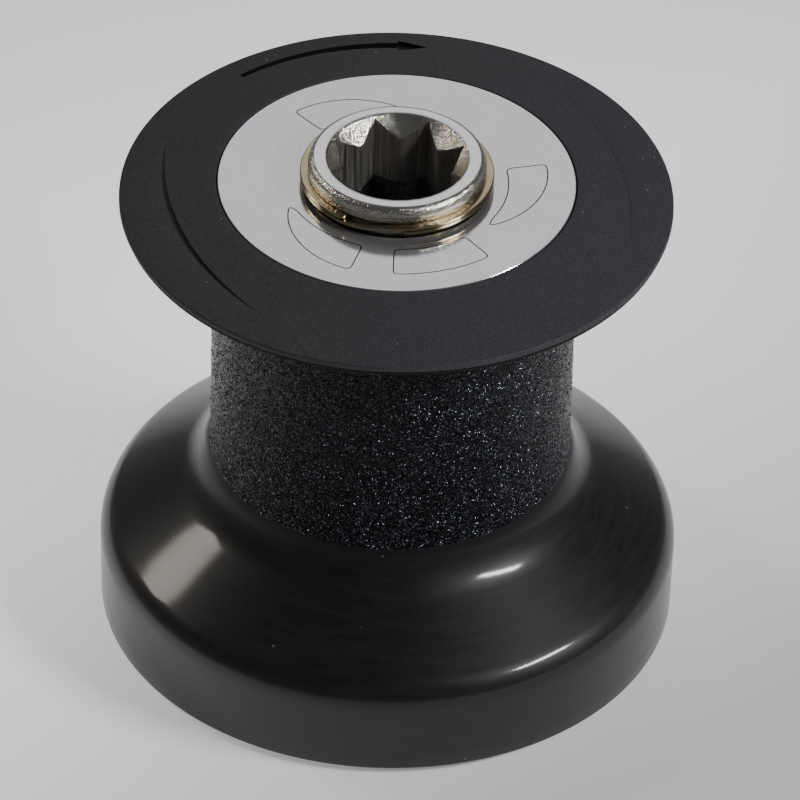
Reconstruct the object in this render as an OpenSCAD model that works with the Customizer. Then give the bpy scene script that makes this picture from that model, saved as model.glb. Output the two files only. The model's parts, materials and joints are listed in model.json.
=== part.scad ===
// Single-speed sailboat winch: a drum that turns one way on a deck-mounted stem,
// driven by a spindle with a standard eight-point handle socket.
// Millimetres. The origin is on the deck plane, on the winch's axis, +Z up.

/* [Drum] */
// Radius of the gripping barrel
drum_r = 32.5; // [31.5:0.5:42]
// Height of the barrel's straight part
barrel_h = 39; // [30:1:60]
// Radius of the skirt at its widest
skirt_r = 52.4; // [51:0.2:66]
// Height of the skirt's upright wall
skirt_wall_h = 13.5; // [12:0.5:20]
// Thickness of the skirt's wall
skirt_t = 3.2; // [2.5:0.1:4]
// How much narrower the skirt is at its lower edge
skirt_taper = 0.25; // [0:0.05:0.5]
// Rounding between the skirt's wall and the shoulder
skirt_round = 6.6; // [5:0.2:7]
// Slope of the shoulder, in degrees
shoulder_slope = 34.3; // [28:0.1:40]
// Radius of the hollow between shoulder and barrel
shoulder_fillet = 12.8; // [8:0.2:14]
// Radius of the hollow under the top flange
flange_fillet = 10; // [7:0.5:12]
// Rise of the top flange's underside from its hollow to its edge
flange_rise = 1.2; // [0.5:0.1:2]
// Thickness of the top flange's edge
flange_edge_t = 0.9; // [0.8:0.1:2]
// Gap between the skirt and the deck
deck_gap = 1; // [0.5:0.1:2]

/* [Crown and disc] */
// Radius of the crown ring
crown_r = 49.4; // [47:0.2:56]
// Thickness of the crown ring's edge
crown_edge_t = 1.2; // [0.8:0.1:2]
// Height of the crown ring at its inner rim
crown_h = 4.5; // [3.5:0.1:6]
// Radius of the cover disc
disc_r = 31.9; // [30:0.1:36]
// Thickness of the cover disc
disc_t = 1; // [0.8:0.1:1.5]
// Width of the ledge that carries the disc
disc_ledge = 3; // [2:0.1:4]
// Number of locating lugs under the crown ring
lug_count = 3; // [2:1:6]
// Radius of a locating lug
lug_r = 2; // [1.5:0.1:2.5]
// Length of a locating lug
lug_h = 3; // [2:0.1:3.5]

/* [Spindle] */
// Handle socket, across the flats of each square
socket_af = 17.6; // [17.5:0.05:19]
// Depth of the handle socket
socket_depth = 32.5; // [26:0.5:34]
// Height of the round recess at the bottom of the socket
lock_recess_h = 4; // [3:0.5:5]
// Wall between the socket's points and the outside of the shaft
spindle_wall = 2.55; // [2.2:0.05:4]
// How far the head stands out from the shaft, all round
head_step = 0.9; // [0.6:0.1:1.5]
// Height of the head above the cover disc
head_h = 5.5; // [5:0.1:8]
// Rounding of the head's top edge
head_round = 1; // [0.5:0.1:1.4]
// Width of the lead-in bevel round the socket's mouth, past the socket's points
mouth_bevel = 0.3; // [0.1:0.05:0.6]
// Radius of the shaft's lower end
tail_r = 9; // [7:0.5:11]

/* [Retaining ring] */
// Thickness of the two-turn retaining ring, both turns together
snap_t = 1.4; // [1:0.1:1.8]
// Gap between the disc and the retaining ring
snap_gap = 1.1; // [0.5:0.1:1.5]
// Radial width of the retaining ring
snap_w = 2.2; // [1.8:0.1:3]
// Angle over which one turn of the ring steps up to the other, in degrees
snap_step = 36.8; // [20:0.1:60]
// Where the upper turn ends and the step starts, in degrees
snap_start = 217.3; // [0:0.1:360]

/* [Base] */
// Thickness of the base flange
base_t = 6; // [5:0.5:8]
// Gap between the base flange and the inside of the skirt
base_gap = 2.2; // [1:0.1:4]
// Height of the top of the pawl hub above the deck
hub_top = 17; // [16:0.5:18]
// Radius of the pawl hub
hub_r = 32.6; // [31:0.1:33]
// Wall of the stem tube
stem_wall = 5; // [4:0.5:6]
// Diameter of the bolt circle
bolt_pcd = 79; // [78:0.5:81]
// Number of deck bolts
bolt_count = 4; // [3:1:8]
// Radius of a deck bolt's hole
bolt_hole_r = 3.3; // [2.7:0.1:3.5]
// Radius of a countersink at the flange's top face
bolt_sink_r = 6; // [5.5:0.1:6.2]

/* [Bearings] */
// Wall of the spindle's bushes
bush_wall = 2; // [1.5:0.1:3]
// Length of the spindle's upper bush
upper_bush_h = 14; // [10:1:20]
// Wall of the drum's bearings
bearing_wall = 4; // [3:0.1:5]
// Length of each drum bearing
bearing_h = 16; // [10:1:20]
// Thickness of the thrust washers
washer_t = 1.5; // [1:0.1:2]

/* [Ratchets] */
// Teeth of the drive ratchet
drive_teeth = 12; // [12:12:24]
// Depth of the drive ratchet's teeth
drive_tooth = 2; // [1.6:0.1:2.2]
// Height of the drive ratchet and its pawl carrier
drive_h = 10; // [8:0.5:14]
// How far the pawl carrier stands out from the shaft
carrier_step = 6.2; // [6:0.1:7]
// Wall of the drive ratchet ring outside its teeth
drive_ring_wall = 4.35; // [3.5:0.05:4.5]
// Teeth of the reverse ratchet
reverse_teeth = 24; // [24:12:36]
// Depth of the reverse ratchet's teeth
reverse_tooth = 2.4; // [2:0.1:2.6]
// Wall of the reverse ratchet ring outside its teeth
reverse_ring_wall = 5.8; // [5.4:0.1:6.2]
// Height of the reverse ratchet ring
reverse_h = 9.6; // [8:0.1:10]

/* [Pawls] */
// Radius of a drive pawl's round heel
drive_heel_r = 3; // [2.6:0.1:3.1]
// Length of a drive pawl from heel to tip
drive_arm = 9; // [8.5:0.1:9.5]
// Radius of a reverse pawl's round heel
reverse_heel_r = 3.4; // [3:0.1:3.6]
// Length of a reverse pawl from heel to tip
reverse_arm = 11; // [10.5:0.1:11.5]
// Thickness of a pawl's tip
tip_t = 3.4; // [3:0.1:3.8]
// Diameter of the pawl springs' wire
wire_d = 0.6; // [0.5:0.1:0.8]

/* [Fasteners] */
// Number of screws that hold the reverse ratchet ring
screw_count = 6; // [4:1:8]
// Radius of their threads
screw_r = 1.5; // [1.2:0.1:2]
// Radius of their heads
screw_head_r = 2.5; // [2.2:0.1:2.6]
// Height of their heads
screw_head_h = 2; // [1.5:0.1:2.4]
// Length of their threads
screw_l = 12; // [10:0.5:13]
// Number of pins that key the drive ratchet ring
pin_count = 4; // [2:1:6]
// Radius of those pins
pin_r = 1.5; // [1:0.1:1.6]

/* [Clearances] */
// Running fit between a shaft and its bush, on the radius
run_fit = 0.05; // [0.02:0.01:0.1]
// Gap between flat faces that turn against each other
face_gap = 0.1; // [0.05:0.05:0.3]
// Gap round a piece that must swing or turn free
free_gap = 0.3; // [0.2:0.05:0.5]

/* [Hidden] */
$fn = 96;

eps = 0.01;
arc_steps = 14;

// Radii, from the socket outwards
socket_tip_r = socket_af / sqrt(2);
shaft_r = socket_tip_r + spindle_wall;
head_r = shaft_r + head_step;
stem_bore_r = shaft_r + bush_wall + 2 * run_fit;
stem_r = stem_bore_r + stem_wall;
drum_bore_r = stem_r + bearing_wall + 2 * run_fit;
tail_bore_r = tail_r + bush_wall + 2 * run_fit;
skirt_bore_r = skirt_r - skirt_t;
base_r = skirt_bore_r - base_gap;
crown_bore_r = disc_r - disc_ledge;
disc_fit = 0.25;
crown_seat_r = disc_r + disc_fit;
head_clear = 0.7;
disc_hole_r = head_r + head_clear;

// Outline of the drum, from the skirt up
skirt_z = deck_gap;
round_c = [skirt_r - skirt_round, skirt_z + skirt_wall_h];
shoulder_low = round_c + skirt_round * [sin(shoulder_slope), cos(shoulder_slope)];
fillet_x = drum_r + shoulder_fillet;
shoulder_high_x = fillet_x - shoulder_fillet * sin(shoulder_slope);
shoulder_high_z = shoulder_low[1]
    + (shoulder_low[0] - shoulder_high_x) * tan(shoulder_slope);
barrel_z = shoulder_high_z + shoulder_fillet * cos(shoulder_slope);
barrel_top = barrel_z + barrel_h;
crown_over = 0.4;
flange_r = crown_r - crown_over;
// The crown's lugs stand in the thick root of the top flange
lug_circle_r = drum_r + 1.5;
drum_top = barrel_top + flange_fillet + flange_rise + flange_edge_t;
disc_top = drum_top + crown_h;
spindle_top = disc_top + head_h;
disc_z = disc_top - disc_t;

// Heights inside, down from the drum's top
circlip_t = 1.2;
circlip_grip = 0.9;
drive_sink = 3.4;
drive_top = drum_top - drive_sink;
drive_z = drive_top - drive_h;
stem_top = drive_z - face_gap - washer_t;
socket_z = spindle_top - socket_depth;
keeper_t = 1;
drive_pawl_h = drive_h - 1.1;

// Heights inside, up from the deck
web_z = hub_top + washer_t + face_gap;
reverse_z = web_z - reverse_h;
recess_r = 14.5;
recess_h = base_t + 0.6;
tail_end_z = 1.6;
shaft_z = hub_top + 15;
reverse_pawl_h = hub_top - base_t - 3;
bottom_washer_t = 1.2;
bottom_clip_z = recess_h - face_gap - bottom_washer_t - circlip_t - 0.1;

// Ratchets: radii at the teeth's tips and roots
tooth_clear = 0.4;
carrier_r = shaft_r + carrier_step;
seal_seat_r = carrier_r - 1;
drive_tip_r = carrier_r + tooth_clear;
drive_root_r = drive_tip_r + drive_tooth;
drive_ring_r = drive_root_r + drive_ring_wall;
drive_seat_r = drive_ring_r + run_fit;
reverse_tip_r = hub_r + tooth_clear + run_fit;
reverse_root_r = reverse_tip_r + reverse_tooth;
reverse_ring_r = reverse_root_r + reverse_ring_wall;
screw_circle_r = reverse_root_r + reverse_ring_wall / 2;

// Pawls: where their heels sit, how far their tips reach
heel_wall = 1;
drive_pivot_r = carrier_r - drive_heel_r - heel_wall;
reverse_pivot_r = hub_r - reverse_heel_r - heel_wall;
tip_gap = 0.3;
tooth_gap = 0.2;
drive_reach_r = drive_root_r - tip_gap;
reverse_reach_r = reverse_root_r - tip_gap;
drive_spread = spread(drive_pivot_r, drive_reach_r, drive_arm);
reverse_spread = spread(reverse_pivot_r, reverse_reach_r, reverse_arm);
drive_swing = swing(drive_pivot_r, drive_reach_r, carrier_r - 0.1, drive_arm);
reverse_swing = swing(reverse_pivot_r, reverse_reach_r, hub_r - 0.1, reverse_arm);
drive_pawl_a = 22.5;
reverse_pawl_a = 0;
arm_half = 0.7;

// ---------------------------------------------------------------- functions

function polar(r, a) = r * [cos(a), sin(a)];
function heading(v) = atan2(v[1], v[0]);

// Points along an arc round c, from angle a0 to a1
function arc(c, r, a0, a1) =
    [for (i = [0:arc_steps]) c + polar(r, a0 + (a1 - a0) * i / arc_steps)];

// Angle at the winch's axis between a pawl's heel and its tip
function spread(pivot_r, tip_r, arm) =
    acos((pivot_r ^ 2 + tip_r ^ 2 - arm ^ 2) / (2 * pivot_r * tip_r));

// Direction from a heel at [pivot_r, 0] to its tip at radius tip_r
function tip_heading(pivot_r, tip_r, arm) =
    heading(polar(tip_r, -spread(pivot_r, tip_r, arm)) - [pivot_r, 0]);

// Lean of the teeth's driving faces from the radius, which sets them square to the pawl
function face_lean(pivot_r, tip_r, arm) =
    90 + tip_heading(pivot_r, tip_r, arm) + spread(pivot_r, tip_r, arm);

// Angle from a pawl's heel to the root of the tooth that it holds, with tooth_gap
// between the pawl's tip and the tooth's face
function face_spread(spread_a, lean, reach_r) =
    spread_a + asin((tooth_gap / cos(lean) - tip_gap * tan(lean)) / reach_r);

// How far round a leaning face sets the tooth's tip back from its root
function tooth_back(root_r, tip_r, lean) =
    let (along = root_r * cos(lean),
         t = along - sqrt(along ^ 2 - root_r ^ 2 + tip_r ^ 2))
    atan2(t * sin(lean), root_r - t * cos(lean));

// How far a pawl turns from full engagement until its tip is inside clear_r
function swing(pivot_r, tip_r, clear_r, arm) =
    tip_heading(pivot_r, tip_r, arm) - tip_heading(pivot_r, clear_r, arm);

// Outer and inner ends of the flat face at a pawl's tip
function pawl_tip(pivot_r, reach_r, arm) =
    polar(reach_r, -spread(pivot_r, reach_r, arm));
function pawl_tip_inner(pivot_r, reach_r, arm) =
    pawl_tip(pivot_r, reach_r, arm)
    + polar(tip_t, tip_heading(pivot_r, reach_r, arm) - 90);

// Foot of the side of a pawl's arm, a line that runs from the tip point p
// past the heel's centre c at distance d
function side_foot(c, p, d, side) =
    c + polar(d, heading(p - c) + side * acos(d / norm(p - c)));

// ------------------------------------------------------------ shared shapes

module tube(r_out, r_in, z0, h) {
    translate([0, 0, z0])
        linear_extrude(h)
            difference() {
                circle(r_out);
                circle(r_in);
            }
}

// Flat spring ring of rectangular section, open over open_a degrees from start_a
module snap_ring(r_in, r_out, z0, t, start_a, open_a) {
    bevel = 0.15;
    rotate(start_a + open_a)
        rotate_extrude(angle = 360 - open_a)
            polygon([[r_in, z0], [r_out - bevel, z0], [r_out, z0 + bevel],
                     [r_out, z0 + t - bevel], [r_out - bevel, z0 + t], [r_in, z0 + t]]);
}

// Ratchet ring with inward teeth; a tooth's driving face starts from its root at face_a
module ratchet(r_out, root_r, tip_r, teeth, face_a, lean, z0, h) {
    pitch = 360 / teeth;
    back = tooth_back(root_r, tip_r, lean);
    translate([0, 0, z0])
        linear_extrude(h)
            difference() {
                circle(r_out);
                polygon([for (k = [0:teeth - 1], end = [0, 1])
                    polar(end == 0 ? root_r : tip_r, face_a + (k + end) * pitch - end * back)]);
            }
}

// Arm of a pawl whose heel sits at [pivot_r, 0]
module pawl_arm(pivot_r, reach_r, arm, heel_r) {
    c = [pivot_r, 0];
    tip_out = pawl_tip(pivot_r, reach_r, arm);
    tip_in = pawl_tip_inner(pivot_r, reach_r, arm);
    half = arm_half * heel_r;
    polygon([side_foot(c, tip_out, half, 1), tip_out, tip_in,
             side_foot(c, tip_in, half, -1)]);
}

// The groove in the middle of a pawl that its spring lies in, drawn round the heel
// with the arm's inner side along the X axis
module spring_groove(heel_r, core_r, length) {
    difference() {
        circle(heel_r + 0.1);
        circle(core_r);
    }
    translate([0, -2 * heel_r])
        square([length, 2 * heel_r - core_r]);
}

// A pawl with its heel at [pivot_r, 0], from z0 up
module pawl(pivot_r, reach_r, arm, heel_r, z0, h) {
    c = [pivot_r, 0];
    tip_in = pawl_tip_inner(pivot_r, reach_r, arm);
    half = arm_half * heel_r;
    inner_side = heading(tip_in - side_foot(c, tip_in, half, -1));
    core_r = half + 0.05 - wire_d;
    groove_h = wire_d + 0.4;
    difference() {
        union() {
            translate([pivot_r, 0, z0])
                cylinder(h = h, r = heel_r);
            translate([0, 0, z0])
                linear_extrude(h)
                    pawl_arm(pivot_r, reach_r, arm, heel_r);
        }
        translate([pivot_r, 0, z0 + (h - groove_h) / 2])
            rotate(inner_side)
                linear_extrude(groove_h)
                    spring_groove(heel_r, core_r, 0.8 * arm);
    }
}

// Direction of a pawl pocket's floor, where the folded pawl's inner side lies
function floor_heading(pivot_r, reach_r, arm, heel_r, swing_a) =
    let (c = [pivot_r, 0],
         tip_in = pawl_tip_inner(pivot_r, reach_r, arm),
         foot = side_foot(c, tip_in, arm_half * heel_r, -1))
    heading(tip_in - foot) - swing_a;

// Pocket for a pawl, open to the outside, with room for the pawl to fold in
module pawl_pocket(pivot_r, reach_r, arm, heel_r, swing_a) {
    c = [pivot_r, 0];
    tip_out = pawl_tip(pivot_r, reach_r, arm);
    half = arm_half * heel_r;
    floor_a = floor_heading(pivot_r, reach_r, arm, heel_r, swing_a);
    roof_foot = side_foot(c, tip_out, half + tooth_gap, 1);
    roof_a = heading(tip_out - roof_foot);
    floor_foot = c + polar(half + free_gap + 0.05, floor_a - 90);
    far = arm + 6;
    translate(c) circle(heel_r + run_fit);
    intersection() {
        translate(c) circle(norm([arm, tip_t]) + free_gap);
        polygon([floor_foot, floor_foot + polar(far, floor_a),
                 roof_foot + polar(far, roof_a), roof_foot]);
    }
}

// C-shaped wire spring round a pawl's heel, its free leg along the pocket's floor
module pawl_spring(pivot_r, floor_a, heel_r, arm, z_mid) {
    coil_r = arm_half * heel_r + 0.25 - wire_d / 2;
    wrap = 230;
    translate([pivot_r, 0, z_mid])
        rotate(floor_a) {
            rotate(-90 - wrap)
                rotate_extrude(angle = wrap)
                    translate([coil_r, 0]) circle(wire_d / 2, $fn = 24);
            translate([0, -coil_r, 0])
                rotate([0, 90, 0])
                    cylinder(h = 0.6 * arm, r = wire_d / 2, $fn = 24);
        }
}

module round_pattern(count, r, start = 0) {
    for (k = [0:count - 1])
        rotate(start + k * 360 / count)
            translate([r, 0, 0])
                children();
}

// ------------------------------------------------------------------- drum

module drum_outline() {
    bottom_r = skirt_r - skirt_taper;
    cavity_c = [round_c[0], web_z - (skirt_round - skirt_t)];
    clip_z = drive_top + face_gap;
    polygon(concat(
        [[skirt_bore_r, skirt_z], [bottom_r - 0.6, skirt_z], [bottom_r, skirt_z + 0.6]],
        arc(round_c, skirt_round, 0, 90 - shoulder_slope),
        arc([fillet_x, barrel_z], shoulder_fillet, 270 - shoulder_slope, 180),
        arc([drum_r + flange_fillet, barrel_top], flange_fillet, 180, 90),
        [[flange_r, drum_top - flange_edge_t], [flange_r, drum_top],
         [drive_seat_r, drum_top],
         [drive_seat_r, clip_z + circlip_t], [drive_seat_r + circlip_grip, clip_z + circlip_t],
         [drive_seat_r + circlip_grip, clip_z], [drive_seat_r, clip_z],
         [drive_seat_r, drive_z], [drum_bore_r, drive_z], [drum_bore_r, web_z]],
        arc(cavity_c, skirt_bore_r - cavity_c[0], 90, 0)));
}

module drum() {
    color("#17181a")
    difference() {
        rotate_extrude() drum_outline();
        round_pattern(lug_count, lug_circle_r, 90)
            translate([0, 0, drum_top - lug_h - 0.2])
                cylinder(h = lug_h + 1, r = lug_r + 0.1);
        round_pattern(pin_count, drive_seat_r)
            translate([0, 0, drive_z])
                cylinder(h = drive_h, r = pin_r + run_fit);
        round_pattern(screw_count, screw_circle_r, 30)
            translate([0, 0, web_z - 1])
                cylinder(h = screw_l - reverse_h + screw_head_h + 2, r = screw_r + run_fit);
    }
}

module crown_ring() {
    color("#1c1c1d") {
        rotate_extrude()
            polygon([[crown_bore_r, drum_top], [crown_r - 0.4, drum_top],
                     [crown_r, drum_top + 0.4], [crown_r, drum_top + crown_edge_t - 0.3],
                     [crown_r - 0.4, drum_top + crown_edge_t],
                     [crown_seat_r + 0.2, disc_top], [crown_seat_r, disc_top - 0.2],
                     [crown_seat_r, disc_z], [crown_bore_r, disc_z]]);
        round_pattern(lug_count, lug_circle_r, 90)
            translate([0, 0, drum_top - lug_h])
                cylinder(h = lug_h + 1, r = lug_r);
    }
}

// Cover disc with a collar below that keeps the pawl washer down and holds the seal
module top_disc() {
    bevel = 0.25;
    collar_z = drive_top + keeper_t + 2 * face_gap;
    color("#b9babb")
    rotate_extrude()
        polygon([[disc_hole_r, disc_z], [disc_hole_r, disc_top],
                 [disc_r - bevel, disc_top], [disc_r, disc_top - bevel], [disc_r, disc_z],
                 [carrier_r + 1, disc_z], [carrier_r + 1, collar_z],
                 [seal_seat_r, collar_z], [seal_seat_r, disc_z]]);
}

module spindle_seal() {
    h = 3;
    color("#0e0e0e")
    rotate_extrude()
        polygon([[head_r + 0.1, disc_z - 0.05], [seal_seat_r - 0.05, disc_z - 0.05],
                 [seal_seat_r - 0.05, disc_z - h], [head_r + 1.6, disc_z - h],
                 [head_r + 0.1, disc_z - 1.2]]);
}

// ---------------------------------------------------------- drum's ratchets

module drive_ratchet_ring() {
    lean = face_lean(drive_pivot_r, drive_reach_r, drive_arm);
    face_a = drive_pawl_a - face_spread(drive_spread, lean, drive_reach_r);
    color("#a98f5a")
    difference() {
        ratchet(drive_ring_r, drive_root_r, drive_tip_r, drive_teeth, face_a, lean,
                drive_z, drive_h);
        round_pattern(pin_count, drive_seat_r)
            translate([0, 0, drive_z - 1])
                cylinder(h = drive_h + 2, r = pin_r + run_fit);
    }
}

module drive_ring_pins() {
    color("#9fa2a5")
    round_pattern(pin_count, drive_seat_r)
        translate([0, 0, drive_z])
            cylinder(h = drive_h - 0.2, r = pin_r);
}

module drive_ring_circlip() {
    color("#8d9093")
    snap_ring(drive_seat_r - 2.6, drive_seat_r + circlip_grip - 0.1,
              drive_top + face_gap, circlip_t, 80, 24);
}

module reverse_ratchet_ring() {
    lean = face_lean(reverse_pivot_r, reverse_reach_r, reverse_arm);
    face_a = reverse_pawl_a - face_spread(reverse_spread, lean, reverse_reach_r);
    color("#a98f5a")
    difference() {
        ratchet(reverse_ring_r, reverse_root_r, reverse_tip_r, reverse_teeth, face_a, lean,
                reverse_z, reverse_h);
        round_pattern(screw_count, screw_circle_r, 30) {
            translate([0, 0, reverse_z - 1])
                cylinder(h = reverse_h + 2, r = screw_r + run_fit);
            translate([0, 0, reverse_z - 1])
                cylinder(h = screw_head_h + 1.2, r = screw_head_r + 0.15);
        }
    }
}

module ratchet_ring_screws() {
    key_r = 1.3;
    color("#c4c6c8")
    round_pattern(screw_count, screw_circle_r, 30)
        translate([0, 0, reverse_z + 0.2])
            difference() {
                union() {
                    cylinder(h = screw_head_h, r = screw_head_r);
                    cylinder(h = screw_head_h + screw_l, r = screw_r);
                }
                translate([0, 0, -1]) cylinder(h = 2.2, r = key_r, $fn = 6);
            }
}

// ------------------------------------------------------------------- base

module base_stem() {
    pocket_z = hub_top - reverse_pawl_h - face_gap;
    color("#2b2d30")
    difference() {
        rotate_extrude()
            polygon([[tail_bore_r, recess_h], [recess_r, recess_h], [recess_r, 0],
                     [base_r, 0], [base_r, base_t - 0.8], [base_r - 0.8, base_t],
                     [hub_r, base_t], [hub_r, hub_top], [stem_r, hub_top],
                     [stem_r, stem_top - 0.5], [stem_r - 0.5, stem_top],
                     [stem_bore_r, stem_top], [stem_bore_r, shaft_z - 1],
                     [tail_bore_r, shaft_z - 1]]);
        round_pattern(2, 0, reverse_pawl_a)
            translate([0, 0, pocket_z])
                linear_extrude(hub_top)
                    pawl_pocket(reverse_pivot_r, reverse_reach_r, reverse_arm,
                                reverse_heel_r, reverse_swing);
        round_pattern(bolt_count, bolt_pcd / 2, 45) {
            translate([0, 0, -1]) cylinder(h = base_t + 2, r = bolt_hole_r);
            translate([0, 0, base_t - (bolt_sink_r - bolt_hole_r)])
                cylinder(h = bolt_sink_r - bolt_hole_r + eps,
                         r1 = bolt_hole_r, r2 = bolt_sink_r + eps);
        }
    }
}

module spindle_upper_bush() {
    color("#d8d4c6")
    tube(stem_bore_r - run_fit, shaft_r + run_fit, stem_top - upper_bush_h, upper_bush_h);
}

module spindle_lower_bush() {
    z0 = recess_h + 0.4;
    color("#d8d4c6")
    tube(tail_bore_r - run_fit, tail_r + run_fit, z0, shaft_z - 2 - z0);
}

module drum_bearing(z0) {
    color("#e6e2d4")
    tube(drum_bore_r - run_fit, stem_r + run_fit, z0, bearing_h);
}

module lower_drum_bearing() {
    drum_bearing(hub_top);
}

module upper_drum_bearing() {
    drum_bearing(stem_top - bearing_h);
}

module bearing_spacer() {
    z0 = hub_top + bearing_h;
    color("#3a3c3e")
    tube(drum_bore_r - 0.6, stem_r + run_fit, z0, stem_top - bearing_h - z0);
}

module drum_thrust_washer() {
    color("#e6e2d4")
    tube(hub_r - 0.3, drum_bore_r + 0.3, hub_top, washer_t);
}

module spindle_thrust_washer() {
    color("#e6e2d4")
    tube(stem_r + 1.5, shaft_r + run_fit, stem_top, washer_t);
}

// ----------------------------------------------------------------- spindle

module spindle_outline() {
    neck_z = disc_top + snap_gap;
    clip_z = bottom_clip_z;
    polygon(concat(
        [[0, tail_end_z], [tail_r - 0.5, tail_end_z], [tail_r, tail_end_z + 0.5],
         [tail_r, clip_z], [tail_r - 1, clip_z], [tail_r - 1, clip_z + circlip_t + 0.1],
         [tail_r, clip_z + circlip_t + 0.1], [tail_r, shaft_z], [shaft_r, shaft_z],
         [shaft_r, drive_z], [carrier_r, drive_z], [carrier_r, drive_top],
         [head_r, drive_top], [head_r, neck_z - 0.05], [shaft_r, neck_z - 0.05],
         [shaft_r, neck_z + snap_t + 0.05], [head_r, neck_z + snap_t + 0.05]],
        arc([head_r - head_round, spindle_top - head_round], head_round, 0, 90),
        [[0, spindle_top]]));
}

// Two crossed squares, their points on the axes and the diagonals
module star() {
    for (a = [0, 45])
        rotate(a)
            square(socket_af, center = true);
}

module spindle() {
    mouth_r = socket_tip_r + mouth_bevel;
    pocket_z = drive_top - drive_pawl_h - face_gap;
    color("#c9cacb")
    difference() {
        rotate_extrude() spindle_outline();
        translate([0, 0, socket_z + lock_recess_h / 2])
            linear_extrude(socket_depth)
                star();
        translate([0, 0, socket_z])
            cylinder(h = lock_recess_h, r = socket_tip_r + 0.6);
        translate([0, 0, spindle_top - mouth_r])
            cylinder(h = mouth_r + 1, r1 = 0, r2 = mouth_r + 1);
        round_pattern(2, 0, drive_pawl_a)
            translate([0, 0, pocket_z])
                linear_extrude(drive_pawl_h + 1)
                    intersection() {
                        pawl_pocket(drive_pivot_r, drive_reach_r, drive_arm,
                                    drive_heel_r, drive_swing);
                        circle(carrier_r + 1);
                    }
    }
}

// Two-turn spiral ring: its turns lie on each other all the way round, except where
// one of them steps up to the other
module retaining_ring() {
    r_in = shaft_r + 0.1;
    z0 = disc_top + snap_gap;
    joined_a = 1;
    color("#b9a98a") {
        snap_ring(r_in, r_in + snap_w, z0, snap_t, snap_start, snap_step);
        rotate(snap_start - joined_a)
            rotate_extrude(angle = snap_step + 2 * joined_a)
                translate([r_in + 0.05, z0 + snap_t / 4])
                    square([snap_w - 0.2, snap_t / 2]);
    }
}

module pawl_keeper_washer() {
    color("#9fa2a5")
    tube(carrier_r, head_r + run_fit, drive_top, keeper_t);
}

module bottom_thrust_washer() {
    color("#e6e2d4")
    tube(recess_r - 0.5, tail_r + run_fit, recess_h - face_gap - bottom_washer_t,
         bottom_washer_t);
}

module bottom_circlip() {
    color("#8d9093")
    snap_ring(tail_r - 0.9, tail_r + 2.2, bottom_clip_z + 0.05, circlip_t, 250, 50);
}

// ------------------------------------------------------------------- pawls

module drive_pawl(side) {
    color("#8f7a4a")
    rotate(drive_pawl_a + 180 * side)
        pawl(drive_pivot_r, drive_reach_r, drive_arm, drive_heel_r,
             drive_top - drive_pawl_h, drive_pawl_h - face_gap);
}

module reverse_pawl(side) {
    color("#8f7a4a")
    rotate(reverse_pawl_a + 180 * side)
        pawl(reverse_pivot_r, reverse_reach_r, reverse_arm, reverse_heel_r,
             hub_top - reverse_pawl_h, reverse_pawl_h - face_gap);
}

module drive_pawl_spring(side) {
    floor_a = floor_heading(drive_pivot_r, drive_reach_r, drive_arm, drive_heel_r,
                            drive_swing);
    color("#d0d2d4")
    rotate(drive_pawl_a + 180 * side)
        pawl_spring(drive_pivot_r, floor_a, drive_heel_r, drive_arm,
                    drive_top - (drive_pawl_h + face_gap) / 2);
}

module reverse_pawl_spring(side) {
    floor_a = floor_heading(reverse_pivot_r, reverse_reach_r, reverse_arm,
                            reverse_heel_r, reverse_swing);
    color("#d0d2d4")
    rotate(reverse_pawl_a + 180 * side)
        pawl_spring(reverse_pivot_r, floor_a, reverse_heel_r, reverse_arm,
                    hub_top - (reverse_pawl_h + face_gap) / 2);
}

// ------------------------------------------------------------------- nodes

base_stem();
spindle_upper_bush();
spindle_lower_bush();
lower_drum_bearing();
bearing_spacer();
upper_drum_bearing();
drum_thrust_washer();
spindle_thrust_washer();
drum();
crown_ring();
top_disc();
spindle_seal();
drive_ratchet_ring();
drive_ring_pins();
drive_ring_circlip();
reverse_ratchet_ring();
ratchet_ring_screws();
spindle();
retaining_ring();
pawl_keeper_washer();
bottom_thrust_washer();
bottom_circlip();
drive_pawl(0);  // drive_pawl_1
drive_pawl(1);  // drive_pawl_2
drive_pawl_spring(0);  // drive_pawl_spring_1
drive_pawl_spring(1);  // drive_pawl_spring_2
reverse_pawl(0);  // reverse_pawl_1
reverse_pawl(1);  // reverse_pawl_2
reverse_pawl_spring(0);  // reverse_pawl_spring_1
reverse_pawl_spring(1);  // reverse_pawl_spring_2
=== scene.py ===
import json
from math import atan2, ceil, cos, degrees, exp, log, pi, radians, sin, sqrt

import bmesh
import bpy
import numpy as np
from mathutils import Matrix, Vector


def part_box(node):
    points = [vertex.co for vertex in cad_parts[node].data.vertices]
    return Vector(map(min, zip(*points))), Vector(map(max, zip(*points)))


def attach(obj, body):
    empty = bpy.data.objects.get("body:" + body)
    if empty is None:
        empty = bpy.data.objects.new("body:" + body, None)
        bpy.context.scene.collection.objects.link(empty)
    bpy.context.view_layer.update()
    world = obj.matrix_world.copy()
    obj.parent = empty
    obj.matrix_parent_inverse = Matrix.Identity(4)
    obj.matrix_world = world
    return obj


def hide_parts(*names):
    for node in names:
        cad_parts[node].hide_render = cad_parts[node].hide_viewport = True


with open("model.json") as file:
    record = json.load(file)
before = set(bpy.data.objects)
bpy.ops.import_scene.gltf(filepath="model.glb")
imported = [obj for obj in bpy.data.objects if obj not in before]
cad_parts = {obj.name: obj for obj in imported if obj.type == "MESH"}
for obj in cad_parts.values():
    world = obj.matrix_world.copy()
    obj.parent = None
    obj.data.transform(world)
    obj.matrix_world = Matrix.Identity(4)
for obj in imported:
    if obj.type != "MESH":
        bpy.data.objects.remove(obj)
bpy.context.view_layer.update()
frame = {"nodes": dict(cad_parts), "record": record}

MM = 0.001
SEED = 7

# ---- sizes, in millimetres


def top_of(node):
    """Height of a node's top."""
    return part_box(node)[1].z / MM


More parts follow.
